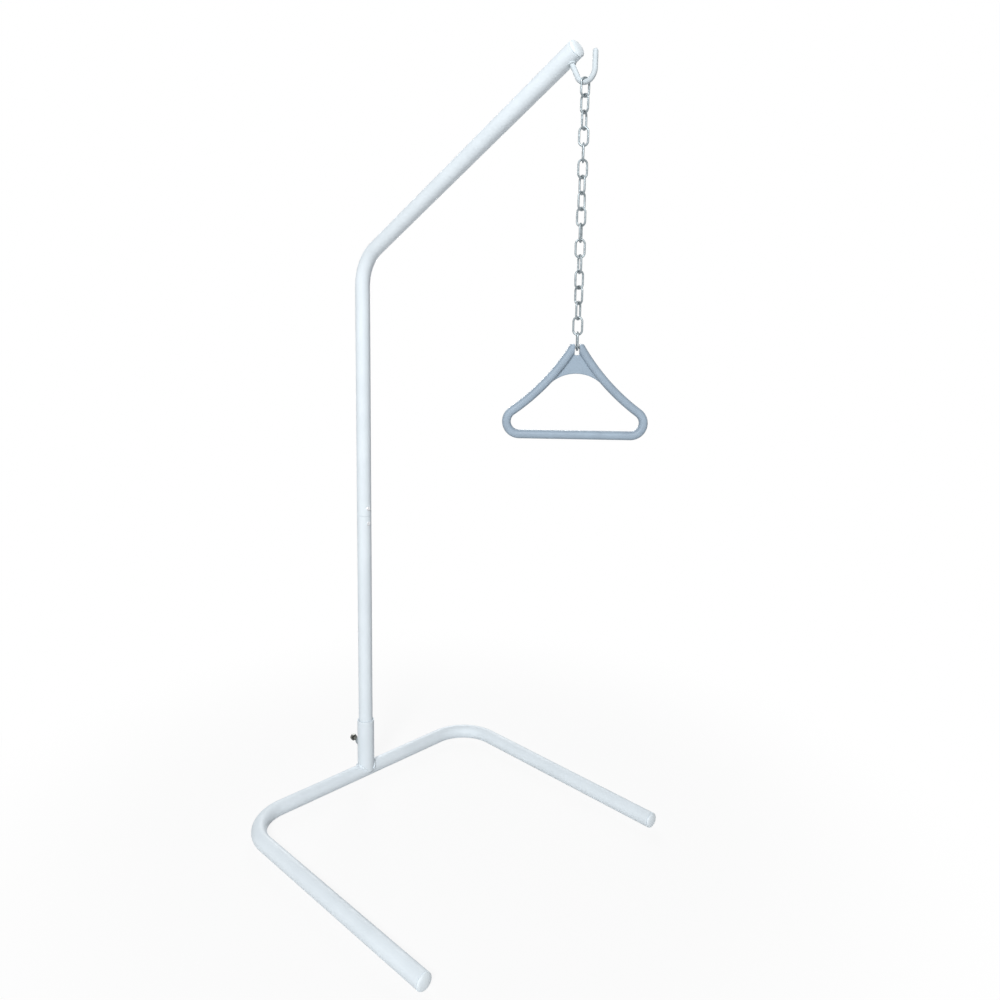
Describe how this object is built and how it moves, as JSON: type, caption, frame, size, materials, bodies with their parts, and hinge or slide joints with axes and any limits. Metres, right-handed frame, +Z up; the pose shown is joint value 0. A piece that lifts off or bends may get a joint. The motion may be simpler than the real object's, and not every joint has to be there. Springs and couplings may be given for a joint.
{
  "type": "bed trapeze stand",
  "caption": "Free-standing bed trapeze: U-shaped tube base, swivelling mast with a sloping arm, and a triangle handle on a chain from the arm's hook.",
  "frame": {"origin": "on the floor, straight under the mast's centre line, which is the middle of the crossbar's underside", "axes": "+Z up along the mast; +X along the legs, from the crossbar to their open ends, and along the arm; +Y along the crossbar, from the near leg to the far one"},
  "size_m": [0.825, 0.735, 1.6816],
  "materials": {
    "powder_coat": "gloss white powder coat with a cool cast",
    "cap_plastic": "smooth white moulded plastic",
    "zinc_plate": "bright zinc plate",
    "dark_steel": "dark oiled steel",
    "handle_plastic": "satin blue-grey moulded plastic"
  },
  "bodies": {
    "stand": {"base_frame": "powder_coat", "leg_cap_near": "cap_plastic", "leg_cap_far": "cap_plastic", "socket": "powder_coat", "socket_weld_near": "powder_coat", "socket_weld_far": "powder_coat", "clamp_nut": "powder_coat"},
    "clamp_screw": {"clamp_screw": "dark_steel"},
    "mast": {"lower_mast": "powder_coat", "mast_spigot": "zinc_plate", "spigot_rivet_lower": "zinc_plate", "spigot_rivet_upper": "zinc_plate", "upper_mast": "powder_coat", "arm_cap": "cap_plastic", "hook": "powder_coat", "hook_weld": "powder_coat"},
    "link_01": {"chain_link_01": "zinc_plate"},
    "link_02": {"chain_link_02": "zinc_plate"},
    "link_03": {"chain_link_03": "zinc_plate"},
    "link_04": {"chain_link_04": "zinc_plate"},
    "link_05": {"chain_link_05": "zinc_plate"},
    "link_06": {"chain_link_06": "zinc_plate"},
    "link_07": {"chain_link_07": "zinc_plate"},
    "link_08": {"chain_link_08": "zinc_plate"},
    "link_09": {"chain_link_09": "zinc_plate"},
    "link_10": {"chain_link_10": "zinc_plate"},
    "link_11": {"chain_link_11": "zinc_plate"},
    "link_12": {"chain_link_12": "zinc_plate"},
    "link_13": {"chain_link_13": "zinc_plate"},
    "link_14": {"chain_link_14": "zinc_plate"},
    "link_15": {"chain_link_15": "zinc_plate"},
    "link_16": {"chain_link_16": "zinc_plate"},
    "link_17": {"chain_link_17": "zinc_plate"},
    "handle": {"handle": "handle_plastic", "handle_pin": "zinc_plate"}
  },
  "joints": [
    {"name": "clamp_turn", "type": "hinge", "parent": "stand", "child": "clamp_screw", "pos_m": [-0.05, 0, 0.085], "axis": [-1, 0, 0], "continuous": true},
    {"name": "mast_swivel", "type": "hinge", "parent": "stand", "child": "mast", "pos_m": [0, 0, 0.1], "axis": [0, 0, 1], "continuous": true},
    {"name": "link_01_swing", "type": "hinge", "parent": "mast", "child": "link_01", "pos_m": [0.66471, 0, 1.60589], "axis": [1, 0, 0], "range_deg": [-80, 80]},
    {"name": "link_02_swing", "type": "hinge", "parent": "link_01", "child": "link_02", "pos_m": [0.66471, 0, 1.58089], "axis": [0.309, 0.9511, 0], "range_deg": [-80, 80]},
    {"name": "link_03_swing", "type": "hinge", "parent": "link_02", "child": "link_03", "pos_m": [0.66471, 0, 1.55289], "axis": [-0.9988, 0.0497, 0], "range_deg": [-80, 80]},
    {"name": "link_04_swing", "type": "hinge", "parent": "link_03", "child": "link_04", "pos_m": [0.66471, 0, 1.52489], "axis": [0.213, -0.977, 0], "range_deg": [-80, 80]},
    {"name": "link_05_swing", "type": "hinge", "parent": "link_04", "child": "link_05", "pos_m": [0.66471, 0, 1.49689], "axis": [0.8874, 0.461, 0], "range_deg": [-80, 80]},
    {"name": "link_06_swing", "type": "hinge", "parent": "link_05", "child": "link_06", "pos_m": [0.66471, 0, 1.46889], "axis": [-0.6769, 0.7361, 0], "range_deg": [-80, 80]},
    {"name": "link_07_swing", "type": "hinge", "parent": "link_06", "child": "link_07", "pos_m": [0.66471, 0, 1.44089], "axis": [-0.5336, -0.8457, 0], "range_deg": [-80, 80]},
    {"name": "link_08_swing", "type": "hinge", "parent": "link_07", "child": "link_08", "pos_m": [0.66471, 0, 1.41289], "axis": [0.9558, -0.294, 0], "range_deg": [-80, 80]},
    {"name": "link_09_swing", "type": "hinge", "parent": "link_08", "child": "link_09", "pos_m": [0.66471, 0, 1.38489], "axis": [0.034, 0.9994, 0], "range_deg": [-80, 80]},
    {"name": "link_10_swing", "type": "hinge", "parent": "link_09", "child": "link_10", "pos_m": [0.66471, 0, 1.35689], "axis": [-0.9736, -0.2284, 0], "range_deg": [-80, 80]},
    {"name": "link_11_swing", "type": "hinge", "parent": "link_10", "child": "link_11", "pos_m": [0.66471, 0, 1.32889], "axis": [0.4749, -0.8801, 0], "range_deg": [-80, 80]},
    {"name": "link_12_swing", "type": "hinge", "parent": "link_11", "child": "link_12", "pos_m": [0.66471, 0, 1.30089], "axis": [0.7254, 0.6884, 0], "range_deg": [-80, 80]},
    {"name": "link_13_swing", "type": "hinge", "parent": "link_12", "child": "link_13", "pos_m": [0.66471, 0, 1.27289], "axis": [-0.854, 0.5203, 0], "range_deg": [-80, 80]},
    {"name": "link_14_swing", "type": "hinge", "parent": "link_13", "child": "link_14", "pos_m": [0.66471, 0, 1.24489], "axis": [-0.279, -0.9603, 0], "range_deg": [-80, 80]},
    {"name": "link_15_swing", "type": "hinge", "parent": "link_14", "child": "link_15", "pos_m": [0.66471, 0, 1.21689], "axis": [0.9998, -0.0183, 0], "range_deg": [-80, 80]},
    {"name": "link_16_swing", "type": "hinge", "parent": "link_15", "child": "link_16", "pos_m": [0.66471, 0, 1.18889], "axis": [-0.2436, 0.9699, 0], "range_deg": [-80, 80]},
    {"name": "link_17_swing", "type": "hinge", "parent": "link_16", "child": "link_17", "pos_m": [0.66471, 0, 1.16089], "axis": [-0.8725, -0.4886, 0], "range_deg": [-80, 80]},
    {"name": "handle_swing", "type": "hinge", "parent": "link_17", "child": "handle", "pos_m": [0.66471, 0, 1.13769], "axis": [-0.7145, -0.6997, 0], "range_deg": [-110, 110]}
  ]
}
